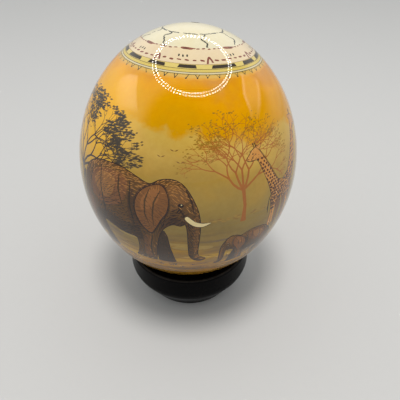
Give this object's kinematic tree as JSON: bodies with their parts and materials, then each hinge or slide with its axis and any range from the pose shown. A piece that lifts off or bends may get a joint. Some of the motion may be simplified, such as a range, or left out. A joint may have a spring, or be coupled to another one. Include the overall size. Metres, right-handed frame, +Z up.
{
  "type": "decorated ostrich egg on a stand",
  "caption": "Blown ostrich egg with a varnished printed savanna frieze and a patterned cap, resting in a black turned wooden ring stand.",
  "frame": {"origin": "centre of the stand's flat base, on the surface it stands on", "axes": "+Z up along the stand's axis; -Y towards the front; +X to the right, where the egg's upper end leans by about 2 degrees"},
  "size_m": [0.1249, 0.125, 0.1735],
  "materials": {
    "varnished_print": "gloss",
    "black_lacquer": "gloss"
  },
  "bodies": {
    "root": {"egg": "varnished_print", "stand": "black_lacquer"}
  },
  "joints": []
}
